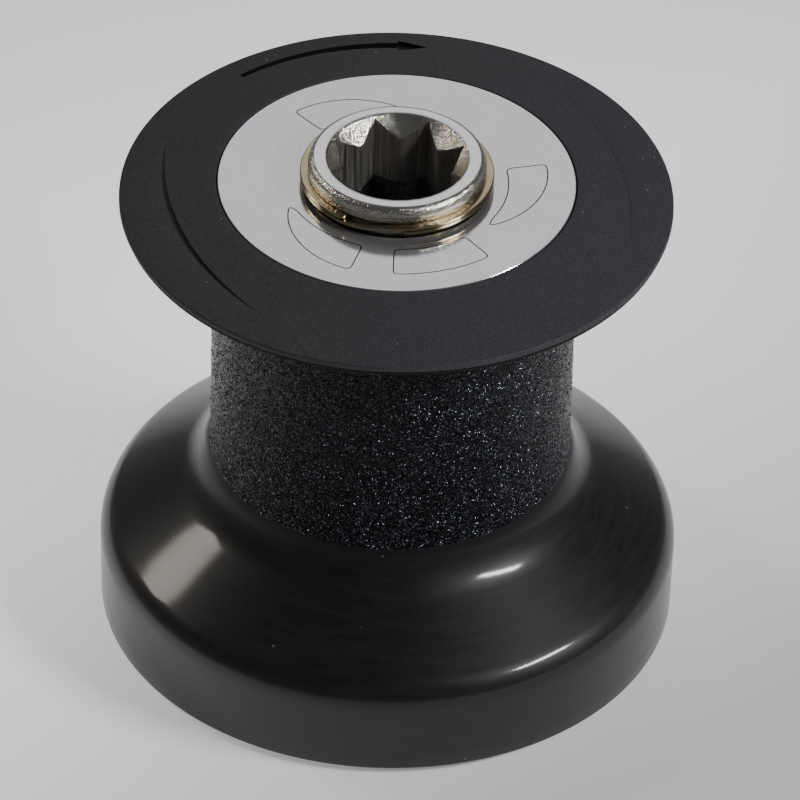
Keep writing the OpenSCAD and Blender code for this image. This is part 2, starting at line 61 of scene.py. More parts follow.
def bottom_of(node):
    """Height of a node's underside."""
    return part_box(node)[0].z / MM


def radius_of(node):
    """Outer radius of a round node on the axis."""
    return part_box(node)[1].x / MM


# Drum: read from the frame where it has the size, else as in the part's source
SKIRT_R = radius_of("drum")
SKIRT_Z = bottom_of("drum")
DRUM_TOP = top_of("drum")
SKIRT_FOOT_R = SKIRT_R - 0.25
SKIRT_BORE_R = SKIRT_R - 3.2
WALL_TOP = SKIRT_Z + 13.5
ROUND_R = 6.6
SHOULDER_SLOPE = 34.3
BARREL_R = 32.5
BARREL_H = 39.0
HOLLOW_R = 12.8
TOP_HOLLOW_R = 10.0
FLANGE_RISE = 1.2
FLANGE_EDGE = 0.9
BARREL_TOP = DRUM_TOP - FLANGE_EDGE - FLANGE_RISE - TOP_HOLLOW_R
BARREL_Z = BARREL_TOP - BARREL_H
WEB_Z = top_of("reverse_ratchet_ring")
DRIVE_Z = bottom_of("drive_ratchet_ring")
DRIVE_SEAT_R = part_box("drive_ratchet_ring")[1].y / MM + 0.05
DRUM_BORE_R = radius_of("upper_drum_bearing") + 0.05

# Gripping grit on the barrel, as a grid of points round and up the drum
GRIT_LOW = BARREL_Z - 2.3
GRIT_HIGH = BARREL_TOP + 2.0
GRIT_PITCH = 0.42
GRIT_DEPTH = 0.13
GRIT_FADE_ROWS = 3.0
DRUM_STEPS = 480
# Where the skirt's painted shade under the grit begins, and where it is full
SHADE_UNDER_GRIT_FROM = BARREL_Z - 7.0
SHADE_UNDER_GRIT_FULL = BARREL_Z - 3.2

# Crown ring and disc
CROWN_R = radius_of("crown_ring")
CROWN_LIP = 0.4
FLANGE_R = CROWN_R - CROWN_LIP
DISC_TOP = top_of("top_disc")
DISC_R = radius_of("top_disc")
DISC_T = 1.0
CROWN_EDGE = 1.2
CROWN_SEAT_R = DISC_R + 0.25
CROWN_BORE_R = DISC_R - 3.0
CROWN_RIM = 0.2
ARROW_R = 43.9
ARROW_DEPTH = 1.0
FACET_ARC_R = 63.5
FACET_ARC_OUT = 23.3
FACET_ARC_HALF = 52
FACET_Z = DISC_TOP - 2.2
FIRST_BLADE = 113.5
BLADE_TURN = 50.0
BADGE_START = 249.8
BADGE_TURN = 38.6
SECTOR_R = 19.9
ETCH_WIDTH = 0.22
ETCH_DEPTH = 0.12

# Spindle head
HEAD_TOP = top_of("spindle")
HEAD_R = 15.895
SHAFT_R = HEAD_R - 0.9
HEAD_ROUND = 1.3
HEAD_DROP = 1.8
STAR_FLAT = 8.8
MOUTH_R = STAR_FLAT * sqrt(2) + 0.3
# The lower shell ends in a seam inside the keeper washer, the head's starts just over it
SEAM_Z = bottom_of("pawl_keeper_washer") + 0.4
HEAD_Z = SEAM_Z + 0.02

# Spiral ring in the head's groove
RING_Z = bottom_of("retaining_ring")
RING_TOP = top_of("retaining_ring")
RING_PLAY = 0.05
RING_WIDTH = 2.2
RING_CORNER = 0.2
RING_GAP = 0.14
RING_STEP_START = 217.3
RING_STEP = 36.8

# Floor: its gap under the base, its half width, and the angle its painted glow fades towards, as
# a painted shadow of the winch on that side
FLOOR_GAP = 0.05
FLOOR_HALF = 6000
PAINTED_SHADOW_SIDE = -65.0

# ---- shapes


def polar(r, a):
    """x and y at a radius and an angle in degrees."""
    return r * cos(radians(a)), r * sin(radians(a))


def arc(cx, cz, r, a0, a1, count):
    """Points along an arc, both ends included."""
    spread = [a0 + (a1 - a0) * i / count for i in range(count + 1)]
    return [(cx + r * cos(radians(a)), cz + r * sin(radians(a))) for a in spread]


def line(p, q, count):
    """Points from p towards q, q itself left out."""
    return [(p[0] + (q[0] - p[0]) * i / count, p[1] + (q[1] - p[1]) * i / count)
            for i in range(count)]


def mesh_object(name, verts, faces, materials, sharp=30.0):
    """A piece from points in millimetres, its faces turned outwards and softly shaded."""
    mesh = bpy.data.meshes.new(name)
    mesh.from_pydata((np.asarray(verts, float) * MM).tolist(), [], faces)
    for material in materials:
        mesh.materials.append(material)
    piece = bpy.data.objects.new(name, mesh)
    bpy.context.scene.collection.objects.link(piece)
    outward(mesh)
    soften(mesh, sharp)
    return piece


def outward(mesh):
    """Turns every face of a closed mesh outwards."""
    bm = bmesh.new()
    bm.from_mesh(mesh)
    bmesh.ops.recalc_face_normals(bm, faces=bm.faces)
    bm.to_mesh(mesh)
    bm.free()


def soften(mesh, sharp):
    """Smooth shading, with edges over the sharp angle left crisp."""
    mesh.shade_smooth()
    mesh.set_sharp_from_angle(angle=radians(sharp))


def turned(name, section, steps, materials, sharp=30.0, start=0.0):
    """A closed ring, whose section at an angle is the loop of (r, z) points section(angle)."""
    angles = start + np.arange(steps) * 360.0 / steps
    rows = []
    for a in angles:
        rz = np.asarray(section(a), float)
        rows.append(np.c_[rz[:, 0] * cos(radians(a)), rz[:, 0] * sin(radians(a)), rz[:, 1]])
    count = len(rows[0])
    faces = []
    for i in range(steps):
        here, there = i * count, (i + 1) % steps * count
        for j in range(count):
            k = (j + 1) % count
            faces.append((here + j, there + j, there + k, here + k))
    return mesh_object(name, np.concatenate(rows), faces, materials, sharp)


def prism(name, outline, z0, z1, materials):
    """A flat-sided solid on an outline of (x, y) points."""
    n = len(outline)
    verts = [(x, y, z) for z in (z0, z1) for x, y in outline]
    faces = [tuple(range(n)), tuple(range(2 * n - 1, n - 1, -1))]
    faces += [(i, (i + 1) % n, n + (i + 1) % n, n + i) for i in range(n)]
    return mesh_object(name, verts, faces, materials)


def cut(piece, cutters, sharp=30.0):
    """Takes each cutter out of the piece, with the cutter's material in the cut."""
    for cutter in cutters:
        modifier = piece.modifiers.new("cut", "BOOLEAN")
        modifier.operation = "DIFFERENCE"
        modifier.solver = "EXACT"
        modifier.material_mode = "TRANSFER"
        modifier.object = cutter
        freeze(piece)
        bpy.data.objects.remove(cutter)
    soften(piece.data, sharp)


def freeze(piece):
    """Turns the piece with its modifiers into a plain mesh."""
    bpy.context.view_layer.update()
    evaluated = piece.evaluated_get(bpy.context.evaluated_depsgraph_get())
    mesh = bpy.data.meshes.new_from_object(evaluated)
    piece.modifiers.clear()
    old = piece.data
    piece.data = mesh
    bpy.data.meshes.remove(old)
    mesh.name = piece.name


# ---- shader building


def add(tree, kind, inputs=None, **settings):
    """Adds a node; an input takes a number, a colour or another node's socket."""
    made = tree.nodes.new(kind)
    for key, value in settings.items():
        setattr(made, key, value)
    for key, value in (inputs or {}).items():
        if isinstance(value, bpy.types.NodeSocket):
            tree.links.new(value, made.inputs[key])
        else:
            made.inputs[key].default_value = value
    return made


def sums(tree, operation, a, b=0.0, clamp=False):
    """Any sum of two numbers or sockets."""
    return add(tree, "ShaderNodeMath", {0: a, 1: b}, operation=operation,
               use_clamp=clamp).outputs[0]


# The four plain sums of two numbers or sockets


def plus(tree, a, b):
    return sums(tree, "ADD", a, b)


def minus(tree, a, b, clamp=False):
    return sums(tree, "SUBTRACT", a, b, clamp)


def times(tree, a, b):
    return sums(tree, "MULTIPLY", a, b)


def over(tree, a, b):
    return sums(tree, "DIVIDE", a, b)


def stretch(tree, value, low, high, to_low=0.0, to_high=1.0):
    """Maps low..high of a value to to_low..to_high and holds it there."""
    made = add(tree, "ShaderNodeMapRange", {
        "Value": value, "From Min": low, "From Max": high,
        "To Min": to_low, "To Max": to_high})
    return made.outputs["Result"]


def vector_sums(tree, operation, a, b=(0.0, 0.0, 0.0)):
    """Any sum of two vectors or sockets; gives the outputs, a vector and a value."""
    return add(tree, "ShaderNodeVectorMath", {0: a, 1: b}, operation=operation).outputs


def from_axis(tree, x, y):
    """Distance of a point from the upright axis."""
    return sums(tree, "SQRT", plus(tree, times(tree, x, x), times(tree, y, y)))


def blend(tree, factor, a, b):
    """A colour between a and b."""
    made = add(tree, "ShaderNodeMix", data_type="RGBA")
    for socket, value in zip((0, 6, 7), (factor, a, b)):
        if isinstance(value, bpy.types.NodeSocket):
            tree.links.new(value, made.inputs[socket])
        elif socket == 0:
            made.inputs[0].default_value = value
        else:
            made.inputs[socket].default_value = (*value, 1.0)
    return made.outputs[2]


FLOAT, VECTOR = "NodeSocketFloat", "NodeSocketVector"


def group(name, inputs, outputs):
    """A shader node group: a position and named numbers in, named outputs of any kind.

    Gives the tree, its inputs by name, and the position.
    """
    tree = bpy.data.node_groups.new(name, "ShaderNodeTree")
    tree.interface.new_socket("Position", in_out="INPUT", socket_type=VECTOR)
    for label, default in inputs.items():
        socket = tree.interface.new_socket(label, in_out="INPUT", socket_type=FLOAT)
        socket.default_value = default
    for label, kind in outputs.items():
        tree.interface.new_socket(label, in_out="OUTPUT", socket_type=kind)
    get = tree.nodes.new("NodeGroupInput").outputs
    return tree, get, get["Position"]


def put_out(tree, **values):
    """Links sockets to a group's outputs by name."""
    out = tree.nodes.new("NodeGroupOutput")
    for label, socket in values.items():
        tree.links.new(socket, out.inputs[label])


def noise(tree, vector, scale, detail=2.0, roughness=0.5):
    """Cloudy values from 0 to 1."""
    return add(tree, "ShaderNodeTexNoise", {
        "Vector": vector, "Scale": scale, "Detail": detail,
        "Roughness": roughness}).outputs["Fac"]


def cells(tree, vector, scale):
    """Cells thrown at random: each with its colour and the distance from its middle."""
    return add(tree, "ShaderNodeTexVoronoi", {"Vector": vector, "Scale": scale},
               feature="F1").outputs


def make_lathe_lines():
    """Fine lines round the axis, as a lathe or a turning brush leaves them."""
    tree, get, position = group("lathe_lines", {"Lines per metre": 4000.0, "Breaks": 3.0},
                                {"Height": FLOAT, "Tone": FLOAT})
    x, y, z = add(tree, "ShaderNodeSeparateXYZ", {0: position}).outputs
    lines = get["Lines per metre"]
    path = add(tree, "ShaderNodeCombineXYZ", {
        0: times(tree, from_axis(tree, x, y), lines),
        1: times(tree, sums(tree, "ARCTAN2", y, x), get["Breaks"]),
        2: times(tree, z, lines)}).outputs[0]
    fine = noise(tree, path, 1.0, 3.0, 0.6)
    wide = noise(tree, path, 0.12)
    put_out(tree, Height=fine, Tone=times(tree, fine, wide))
    return tree


def make_grain():
    """Fine even grain of moulded, cast or blasted surfaces."""
    tree, get, position = group("grain", {"Grains per metre": 3000.0},
                                {"Height": FLOAT, "Tone": FLOAT})
    size = get["Grains per metre"]
    fine = noise(tree, position, size, 2.0, 0.7)
    pits = stretch(tree, cells(tree, position, size)["Distance"], 0.1, 0.7)
    put_out(tree, Height=times(tree, fine, pits), Tone=fine)
    return tree


def make_specks():
    """Dust: a few tiny spots, thrown at random."""
    tree, get, position = group("dust_specks", {
        "Spots per metre": 400.0, "Size": 0.08, "Share": 0.2}, {"Mask": FLOAT})
    spots = cells(tree, position, get["Spots per metre"])
    chance = add(tree, "ShaderNodeSeparateColor", {0: spots["Color"]}).outputs
    there = sums(tree, "LESS_THAN", chance[0], get["Share"])
    size = times(tree, get["Size"], plus(tree, chance[1], 0.4))
    spot = sums(tree, "LESS_THAN", spots["Distance"], size)
    put_out(tree, Mask=times(tree, spot, there))
    return tree


def make_handling():
    """Soft cloudy marks from hands and wiping, and a few hairline scratches."""
    tree, get, position = group("handling_marks", {
        "Cloud size": 40.0, "Scratch size": 250.0}, {"Cloud": FLOAT, "Scratches": FLOAT})
    cloud = noise(tree, position, get["Cloud size"], 4.0, 0.6)
    drawn_out = vector_sums(tree, "MULTIPLY", position, (1.0, 0.06, 0.4))[0]
    lines = noise(tree, drawn_out, get["Scratch size"], 3.0, 0.6)
    narrow = sums(tree, "ABSOLUTE", minus(tree, lines, 0.5))
    put_out(tree, Cloud=stretch(tree, cloud, 0.3, 0.7),
            Scratches=stretch(tree, narrow, 0.0, 0.008, 1.0, 0.0))
    return tree


def make_edge_wear():
    """Where handling has rubbed the outer edges bright."""
    tree, get, position = group("edge_wear", {"Amount": 0.5}, {"Mask": FLOAT})
    shape = add(tree, "ShaderNodeNewGeometry").outputs["Pointiness"]
    edge = stretch(tree, shape, 0.52, 0.6)
    patches = stretch(tree, noise(tree, position, 300.0, 4.0, 0.7), 0.4, 0.65)
    put_out(tree, Mask=times(tree, times(tree, edge, patches), get["Amount"]))
    return tree


def make_cell_tilt():
    """Tips each small grain its own way, so that single grains catch the light."""
    tree, get, position = group("cell_tilt", {"Cells per metre": 3500.0, "Tilt": 0.5},
                                {"Normal": VECTOR, "Pick": FLOAT})
    colour = cells(tree, position, get["Cells per metre"])["Color"]
    centred = vector_sums(tree, "SUBTRACT", colour, (0.5, 0.5, 0.5))[0]
    tipped = add(tree, "ShaderNodeVectorMath", {
        0: centred, "Scale": times(tree, get["Tilt"], 2.0)}, operation="SCALE").outputs[0]
    face = add(tree, "ShaderNodeNewGeometry").outputs["Normal"]
    leant = vector_sums(tree, "ADD", face, tipped)[0]
    parts = add(tree, "ShaderNodeSeparateColor", {0: colour})
    put_out(tree, Normal=vector_sums(tree, "NORMALIZE", leant)[0], Pick=parts.outputs[2])
    return tree


LATHE_LINES = make_lathe_lines()
GRAIN = make_grain()
SPECKS = make_specks()
HANDLING = make_handling()
EDGE_WEAR = make_edge_wear()
CELL_TILT = make_cell_tilt()


class Finish:
    """A material being made: a Principled shader, its coordinates and the shared effects."""

    def __init__(self, name, color, roughness, metallic=0.0):
        self.material = bpy.data.materials.new(name)
        self.material.use_nodes = True
        self.tree = self.material.node_tree
        self.tree.nodes.clear()
        self.shader = add(self.tree, "ShaderNodeBsdfPrincipled", {
            "Base Color": (*color, 1.0), "Roughness": roughness, "Metallic": metallic})
        out = self.tree.nodes.new("ShaderNodeOutputMaterial")
        self.tree.links.new(self.shader.outputs[0], out.inputs[0])
        self.position = self.tree.nodes.new("ShaderNodeTexCoord").outputs["Object"]
        self.normal = None

    def use(self, effect, **inputs):
        """Places a shared effect; returns its outputs by name."""
        made = self.tree.nodes.new("ShaderNodeGroup")
        made.node_tree = effect
        self.tree.links.new(self.position, made.inputs["Position"])
        for label, value in inputs.items():
            made.inputs[label.replace("_", " ")].default_value = value
        return made.outputs

    def feed(self, **sockets):
        """Links sockets to the shader's inputs by name."""
        for label, socket in sockets.items():
            self.tree.links.new(socket, self.shader.inputs[label.replace("_", " ")])

    def bump(self, height, depth_mm, strength=1.0):
        """Raises the surface by up to depth_mm where height is 1, over what is there."""
        made = add(self.tree, "ShaderNodeBump", {
            "Height": height, "Distance": depth_mm * MM, "Strength": strength})
        if self.normal:
            self.tree.links.new(self.normal, made.inputs["Normal"])
        self.normal = made.outputs[0]
        self.tree.links.new(self.normal, self.shader.inputs["Normal"])


def satin_black():
    """Black anodised skirt: satin, with fine lines round it, and painted shade in the hollow
    under the grit: a darker colour there, with less coat and more roughness.
    """
    f = Finish("satin_black", (0.003, 0.003, 0.003), 0.4)
    f.shader.inputs["Specular IOR Level"].default_value = 0.3
    f.shader.inputs["Coat Roughness"].default_value = 0.12
    t = f.tree
    lines = f.use(LATHE_LINES, Lines_per_metre=6400.0, Breaks=44.0)
    marks = f.use(HANDLING, Cloud_size=45.0, Scratch_size=120.0)
    dust = f.use(SPECKS, Spots_per_metre=330.0, Size=0.05, Share=0.12)
    tone = blend(t, stretch(t, lines["Tone"], 0.1, 0.4), (0.005, 0.005, 0.0052),
                 (0.012, 0.012, 0.0125))
    # Painted shade: towards the grit the colour darkens, the coat thins and the roughness rises
    height = add(t, "ShaderNodeSeparateXYZ", {0: f.position}).outputs[2]
    shade_under_grit = stretch(t, height, SHADE_UNDER_GRIT_FROM * MM, SHADE_UNDER_GRIT_FULL * MM)
    tone = blend(t, shade_under_grit, tone, (0.0015, 0.0015, 0.0017))
    f.feed(Coat_Weight=stretch(t, shade_under_grit, 0.0, 1.0, 0.5, 0.04))
    f.feed(Base_Color=blend(t, dust["Mask"], tone, (0.18, 0.18, 0.18)))
    rough = stretch(t, marks["Cloud"], 0.0, 1.0, 0.38, 0.46)
    rough = plus(t, rough, stretch(t, lines["Tone"], 0.1, 0.4, -0.03, 0.05))
    rough = plus(t, rough, times(t, shade_under_grit, 0.22))
    f.feed(Roughness=plus(t, rough, times(t, dust["Mask"], 0.4)))
    f.bump(lines["Height"], 0.008)
    return f.material


def grit_black():
    """The barrel's bonded grit: black grains with glassy faces."""
    f = Finish("grit_black", (0.002, 0.002, 0.003), 0.3)
    f.shader.inputs["Specular IOR Level"].default_value = 0.16
    t = f.tree
    grain = f.use(GRAIN, Grains_per_metre=2600.0)
    tilt = f.use(CELL_TILT, Cells_per_metre=4600.0, Tilt=0.62)
    tone = blend(t, stretch(t, grain["Tone"], 0.35, 0.65), (0.0002, 0.0002, 0.0003),
                 (0.0034, 0.0035, 0.0050))
    glassy = stretch(t, tilt["Pick"], 0.84, 0.86)
    f.feed(Base_Color=blend(t, glassy, tone, (0.13, 0.136, 0.17)), Metallic=glassy)
    rough = stretch(t, tilt["Pick"], 0.2, 0.8, 0.16, 0.4)
    f.feed(Roughness=minus(t, rough, times(t, glassy, 0.22)))
    f.normal = tilt["Normal"]
    f.bump(grain["Height"], 0.12)
    return f.material


def grain_chip():
    """Loose-looking grains that stand out of the grit, broken and glassy."""
    f = Finish("grit_grain", (0.01, 0.01, 0.013), 0.15)
    t = f.tree
    grain = f.use(GRAIN, Grains_per_metre=2500.0)
    tone = stretch(t, grain["Tone"], 0.3, 0.7)
    f.feed(Base_Color=blend(t, tone, (0.001, 0.001, 0.0013), (0.016, 0.017, 0.024)))
    f.feed(Roughness=stretch(t, tone, 0.0, 1.0, 0.06, 0.2))
    f.bump(grain["Height"], 0.03)
    return f.material


def crown_black(name, low, high):
    """Moulded crown: matt black, with an even grain and pale specks."""
    f = Finish(name, low, 0.62)
    f.shader.inputs["Specular IOR Level"].default_value = 0.3
    t = f.tree
    grain = f.use(GRAIN, Grains_per_metre=3600.0)
    marks = f.use(HANDLING, Cloud_size=30.0, Scratch_size=90.0)
    dust = f.use(SPECKS, Spots_per_metre=420.0, Size=0.055, Share=0.16)
    fine = f.use(SPECKS, Spots_per_metre=1500.0, Size=0.16, Share=0.12)
    tone = blend(t, stretch(t, grain["Tone"], 0.3, 0.7), low, high)
    tone = blend(t, times(t, fine["Mask"], 0.35), tone, (0.05, 0.05, 0.055))
    f.feed(Base_Color=blend(t, dust["Mask"], tone, (0.3, 0.3, 0.31)))
    f.feed(Roughness=stretch(t, marks["Cloud"], 0.0, 1.0, 0.56, 0.68))
    f.bump(grain["Height"], 0.05)
    return f.material


def disc_metal():
    """Cover disc: light metal, satin polished."""
    f = Finish("disc_metal", (0.68, 0.68, 0.69), 0.09, 0.84)
    t = f.tree
    lines = f.use(LATHE_LINES, Lines_per_metre=2500.0, Breaks=9.0)
    marks = f.use(HANDLING, Cloud_size=70.0, Scratch_size=160.0)
    grain = f.use(GRAIN, Grains_per_metre=2500.0)
    tone = blend(t, marks["Cloud"], (0.60, 0.60, 0.615), (0.68, 0.68, 0.69))
    tone = blend(t, stretch(t, grain["Tone"], 0.35, 0.65, 0.0, 0.6), tone, (0.78, 0.78, 0.79))
    f.feed(Base_Color=blend(t, times(t, marks["Scratches"], 0.15), tone, (0.4, 0.4, 0.41)))
    rough = stretch(t, marks["Cloud"], 0.0, 1.0, 0.06, 0.11)
    f.feed(Roughness=plus(t, rough, times(t, grain["Tone"], 0.06)))
    f.bump(grain["Tone"], 0.007)
    f.bump(lines["Height"], 0.0012)
    return f.material


def etched_line():
    """Laser-etched line in the disc: brown-black and rough."""
    f = Finish("etched_line", (0.05, 0.045, 0.04), 0.6, 0.4)
    t = f.tree
    grain = f.use(GRAIN, Grains_per_metre=9000.0)
    f.feed(Base_Color=blend(t, grain["Tone"], (0.004, 0.0035, 0.003), (0.02, 0.018, 0.016)))
    f.bump(grain["Height"], 0.02)
    return f.material


def steel(name, low, high, rough_low, rough_high, line_depth, grain_depth, wear=0.0):
    """Stainless steel: turned lines, handling marks and a fine grain, in chosen strengths."""
    f = Finish(name, high, rough_low, 1.0)
    t = f.tree
    lines = f.use(LATHE_LINES, Lines_per_metre=6000.0, Breaks=4.0)
    marks = f.use(HANDLING, Cloud_size=110.0, Scratch_size=300.0)
    grain = f.use(GRAIN, Grains_per_metre=2600.0)
    tone = blend(t, marks["Cloud"], low, high)
    scratch = tuple(0.5 * v for v in low)
    f.feed(Base_Color=blend(t, times(t, marks["Scratches"], 0.2), tone, scratch))
    rough = stretch(t, marks["Cloud"], 0.0, 1.0, rough_low, rough_high)
    if wear:
        worn = f.use(EDGE_WEAR, Amount=wear)
        rough = minus(t, rough, times(t, worn["Mask"], 0.15), True)
    f.feed(Roughness=rough)
    f.bump(lines["Height"], line_depth)
    f.bump(grain["Height"], grain_depth)
    return f.material


def bore_steel():
    """Socket walls: broached steel, darker, with lines down the walls."""
    f = Finish("socket_steel", (0.16, 0.15, 0.14), 0.5, 1.0)
    t = f.tree
    down = vector_sums(t, "MULTIPLY", f.position, (2600.0, 2600.0, 60.0))[0]
    streak = noise(t, down, 1.0, 3.0, 0.6)
    marks = f.use(HANDLING, Cloud_size=120.0, Scratch_size=200.0)
    tone = blend(t, stretch(t, streak, 0.35, 0.65), (0.30, 0.285, 0.265), (0.68, 0.65, 0.61))
    f.feed(Base_Color=blend(t, times(t, marks["Cloud"], 0.5), tone, (0.45, 0.425, 0.395)))
    f.feed(Roughness=stretch(t, streak, 0.3, 0.7, 0.42, 0.56))
    f.bump(streak, 0.03)
    return f.material


def moulded(name, low, high, roughness, grain_size, depth):
    """Plain moulded plastic or rubber with its own grain."""
    f = Finish(name, high, roughness)
    t = f.tree
    grain = f.use(GRAIN, Grains_per_metre=grain_size)
    marks = f.use(HANDLING, Cloud_size=60.0, Scratch_size=150.0)
    tone = blend(t, grain["Tone"], low, high)
    f.feed(Base_Color=blend(t, times(t, marks["Cloud"], 0.25), tone, low))
    f.feed(Roughness=stretch(t, marks["Cloud"], 0.0, 1.0, roughness - 0.06, roughness + 0.06))
    f.bump(grain["Height"], depth)
    return f.material


def turned_alloy(name, low, high, roughness, metallic):
    """Turned alloy or bronze, dull, with rubbed edges."""
    f = Finish(name, high, roughness, metallic)
    t = f.tree
    lines = f.use(LATHE_LINES, Lines_per_metre=3500.0, Breaks=4.0)
    marks = f.use(HANDLING, Cloud_size=60.0, Scratch_size=200.0)
    worn = f.use(EDGE_WEAR, Amount=0.5)
    tone = blend(t, marks["Cloud"], low, high)
    rubbed = tuple(min(1.0, 1.8 * v) for v in high)
    f.feed(Base_Color=blend(t, worn["Mask"], tone, rubbed))
    f.feed(Roughness=stretch(t, lines["Tone"], 0.1, 0.4, roughness - 0.05, roughness + 0.1))
    f.bump(lines["Height"], 0.01)
    return f.material


SATIN_BLACK = satin_black()
GRIT_BLACK = grit_black()
GRIT_GRAIN = grain_chip()
CROWN_BLACK = crown_black("crown_black", (0.024, 0.024, 0.0265), (0.070, 0.0685, 0.078))
# The arrow groove's much darker black is painted shade in the recess
SHADED_GROOVE_BLACK = crown_black("groove_painted_shade", (0.003, 0.003, 0.0033), (0.010, 0.010, 0.011))
DISC_METAL = disc_metal()
ETCHED = etched_line()
HEAD_STEEL = steel("head_steel", (0.60, 0.57, 0.49), (0.78, 0.74, 0.66), 0.14, 0.24,
                   0.004, 0.11, 0.5)
FACE_STEEL = steel("head_face_steel", (0.80, 0.80, 0.80), (0.94, 0.94, 0.94), 0.2, 0.3,
                   0.004, 0.007)
SOCKET_STEEL = bore_steel()
RING_STEEL = steel("ring_steel", (0.34, 0.275, 0.165), (0.53, 0.45, 0.30), 0.15, 0.24,
                   0.003, 0.003)
PLAIN_STEEL = steel("plain_steel", (0.42, 0.42, 0.42), (0.6, 0.6, 0.6), 0.22, 0.36,
                    0.006, 0.004, 0.5)
BASE_ALLOY = turned_alloy("base_alloy", (0.012, 0.012, 0.013), (0.025, 0.025, 0.028),
                          0.42, 0.0)
BRONZE = turned_alloy("bronze", (0.32, 0.21, 0.09), (0.5, 0.36, 0.18), 0.34, 1.0)
ACETAL = moulded("acetal", (0.62, 0.58, 0.48), (0.78, 0.75, 0.66), 0.42, 900.0, 0.01)
DARK_SLEEVE = moulded("dark_sleeve", (0.02, 0.02, 0.022), (0.045, 0.045, 0.05),
                      0.5, 1200.0, 0.01)
RUBBER = moulded("rubber", (0.006, 0.006, 0.006), (0.016, 0.016, 0.016), 0.66, 2200.0, 0.02)

# ---- drum


def barrel_line(z):
    """Radius of the smooth drum at a height in the gritted band."""
    if z < BARREL_Z:
        return BARREL_R + HOLLOW_R - sqrt(HOLLOW_R ** 2 - (BARREL_Z - z) ** 2)
    if z > BARREL_TOP:
        return BARREL_R + TOP_HOLLOW_R - sqrt(TOP_HOLLOW_R ** 2 - (z - BARREL_TOP) ** 2)
    return BARREL_R


def drum_outline():
    """The drum's outline: from the skirt's foot up outside and down inside.

    Also gives the first and last index of the points that lie in the grit.
    """
    foot_round, foot_chamfer, edge_break, lip_break = 0.6, 0.4, 0.15, 0.1
    round_x, round_z = SKIRT_R - ROUND_R, WALL_TOP
    low_a = 270 - SHOULDER_SLOPE
    grit_a = 180 + degrees(atan2(BARREL_Z - GRIT_LOW, HOLLOW_R))
    shoulder = arc(round_x, round_z, ROUND_R, 0, 90 - SHOULDER_SLOPE, 14)
    hollow = arc(BARREL_R + HOLLOW_R, BARREL_Z, HOLLOW_R, low_a, grit_a, 14)
    rows = ceil((GRIT_HIGH - GRIT_LOW) / GRIT_PITCH)
    heights = [GRIT_LOW + (GRIT_HIGH - GRIT_LOW) * i / rows for i in range(1, rows)]
    grit = [(barrel_line(z), z) for z in heights]
    top_a = 180 - degrees(atan2(GRIT_HIGH - BARREL_TOP, TOP_HOLLOW_R))
    under = arc(BARREL_R + TOP_HOLLOW_R, BARREL_TOP, TOP_HOLLOW_R, top_a, 90, 12)
    edge_z = DRUM_TOP - FLANGE_EDGE
    foot = [(SKIRT_BORE_R + foot_chamfer, SKIRT_Z)]
    foot += arc(SKIRT_FOOT_R - foot_round, SKIRT_Z + foot_round, foot_round, 270, 360, 4)
    wall = line(foot.pop(), shoulder[0], 5)
    slope = line(shoulder.pop(), hollow[0], 5)
    outer = foot + wall + shoulder + slope + hollow
    grit_from = len(outer)
    outer += grit
    grit_to = len(outer)
    corner = (FLANGE_R - edge_break, edge_z)
    outer += under[:-1] + line(under[-1], corner, 3)
    outer += [corner, (FLANGE_R, edge_z + edge_break), (FLANGE_R, DRUM_TOP - lip_break),
              (FLANGE_R - lip_break, DRUM_TOP)]
    cavity_r = SKIRT_BORE_R - round_x
    inner = [(DRIVE_SEAT_R, DRUM_TOP), (DRIVE_SEAT_R, DRIVE_Z), (DRUM_BORE_R, DRIVE_Z),
             (DRUM_BORE_R, WEB_Z)]
    inner += arc(round_x, WEB_Z - cavity_r, cavity_r, 90, 0, 6)
    inner += [(SKIRT_BORE_R, SKIRT_Z + foot_chamfer)]
    return outer + inner, grit_from, grit_to


def grit_heights(rows, steps):
    """How far each point of the band stands proud: single grains over softer lumps."""
    rng = np.random.default_rng(SEED)
    grains = rng.random((rows, steps)) ** 2
    lumps = rng.random((rows, steps))
    for _ in range(3):
        lumps = (lumps + np.roll(lumps, 1, 1) + np.roll(lumps, -1, 1)
                 + np.roll(lumps, 1, 0) + np.roll(lumps, -1, 0)) / 5
    lumps = (lumps - lumps.min()) / (lumps.max() - lumps.min())
    fade = np.minimum(1.0, (np.arange(rows) + 1) / GRIT_FADE_ROWS)
    fade = np.minimum(fade, fade[::-1])[:, None]
    return GRIT_DEPTH * (0.65 * grains + 0.7 * lumps) * fade


def make_drum():
    """The drum in one piece: smooth skirt and flange, real grit on the barrel."""
    outline, first, last = drum_outline()
    heights = grit_heights(last - first, DRUM_STEPS)
    base = np.asarray(outline)

    def section(a):
        points = base.copy()
        points[first:last, 0] += heights[:, round(a * DRUM_STEPS / 360) % DRUM_STEPS]
        return points

    drum = turned("drum_body", section, DRUM_STEPS, [SATIN_BLACK, GRIT_BLACK], 40)
    grit_slot = 1
    low, high = (GRIT_LOW + GRIT_PITCH / 4) * MM, (GRIT_HIGH - GRIT_PITCH / 4) * MM
    for face in drum.data.polygons:
        c = face.center
        if low < c.z < high and Vector((c.x, c.y)).length > (BARREL_R - 1) * MM:
            face.material_index = grit_slot
            face.use_smooth = False
    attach(drum, "drum")
    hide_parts("drum")


# ---- grit grains


def geometry_tree(name, inputs):
    """A geometry node tree with named inputs and one geometry in and out.

    Gives the tree, its inputs' identifiers by name, and its input and output nodes.
    """
    tree = bpy.data.node_groups.new(name, "GeometryNodeTree")
    tree.interface.new_socket("Geometry", in_out="INPUT", socket_type="NodeSocketGeometry")
    sockets = {}
    for label, kind, default in inputs:
        socket = tree.interface.new_socket(label, in_out="INPUT", socket_type=kind)
        if default is not None:
            socket.default_value = default
        sockets[label] = socket.identifier
    tree.interface.new_socket("Geometry", in_out="OUTPUT", socket_type="NodeSocketGeometry")
    return tree, sockets, tree.nodes.new("NodeGroupInput"), tree.nodes.new("NodeGroupOutput")


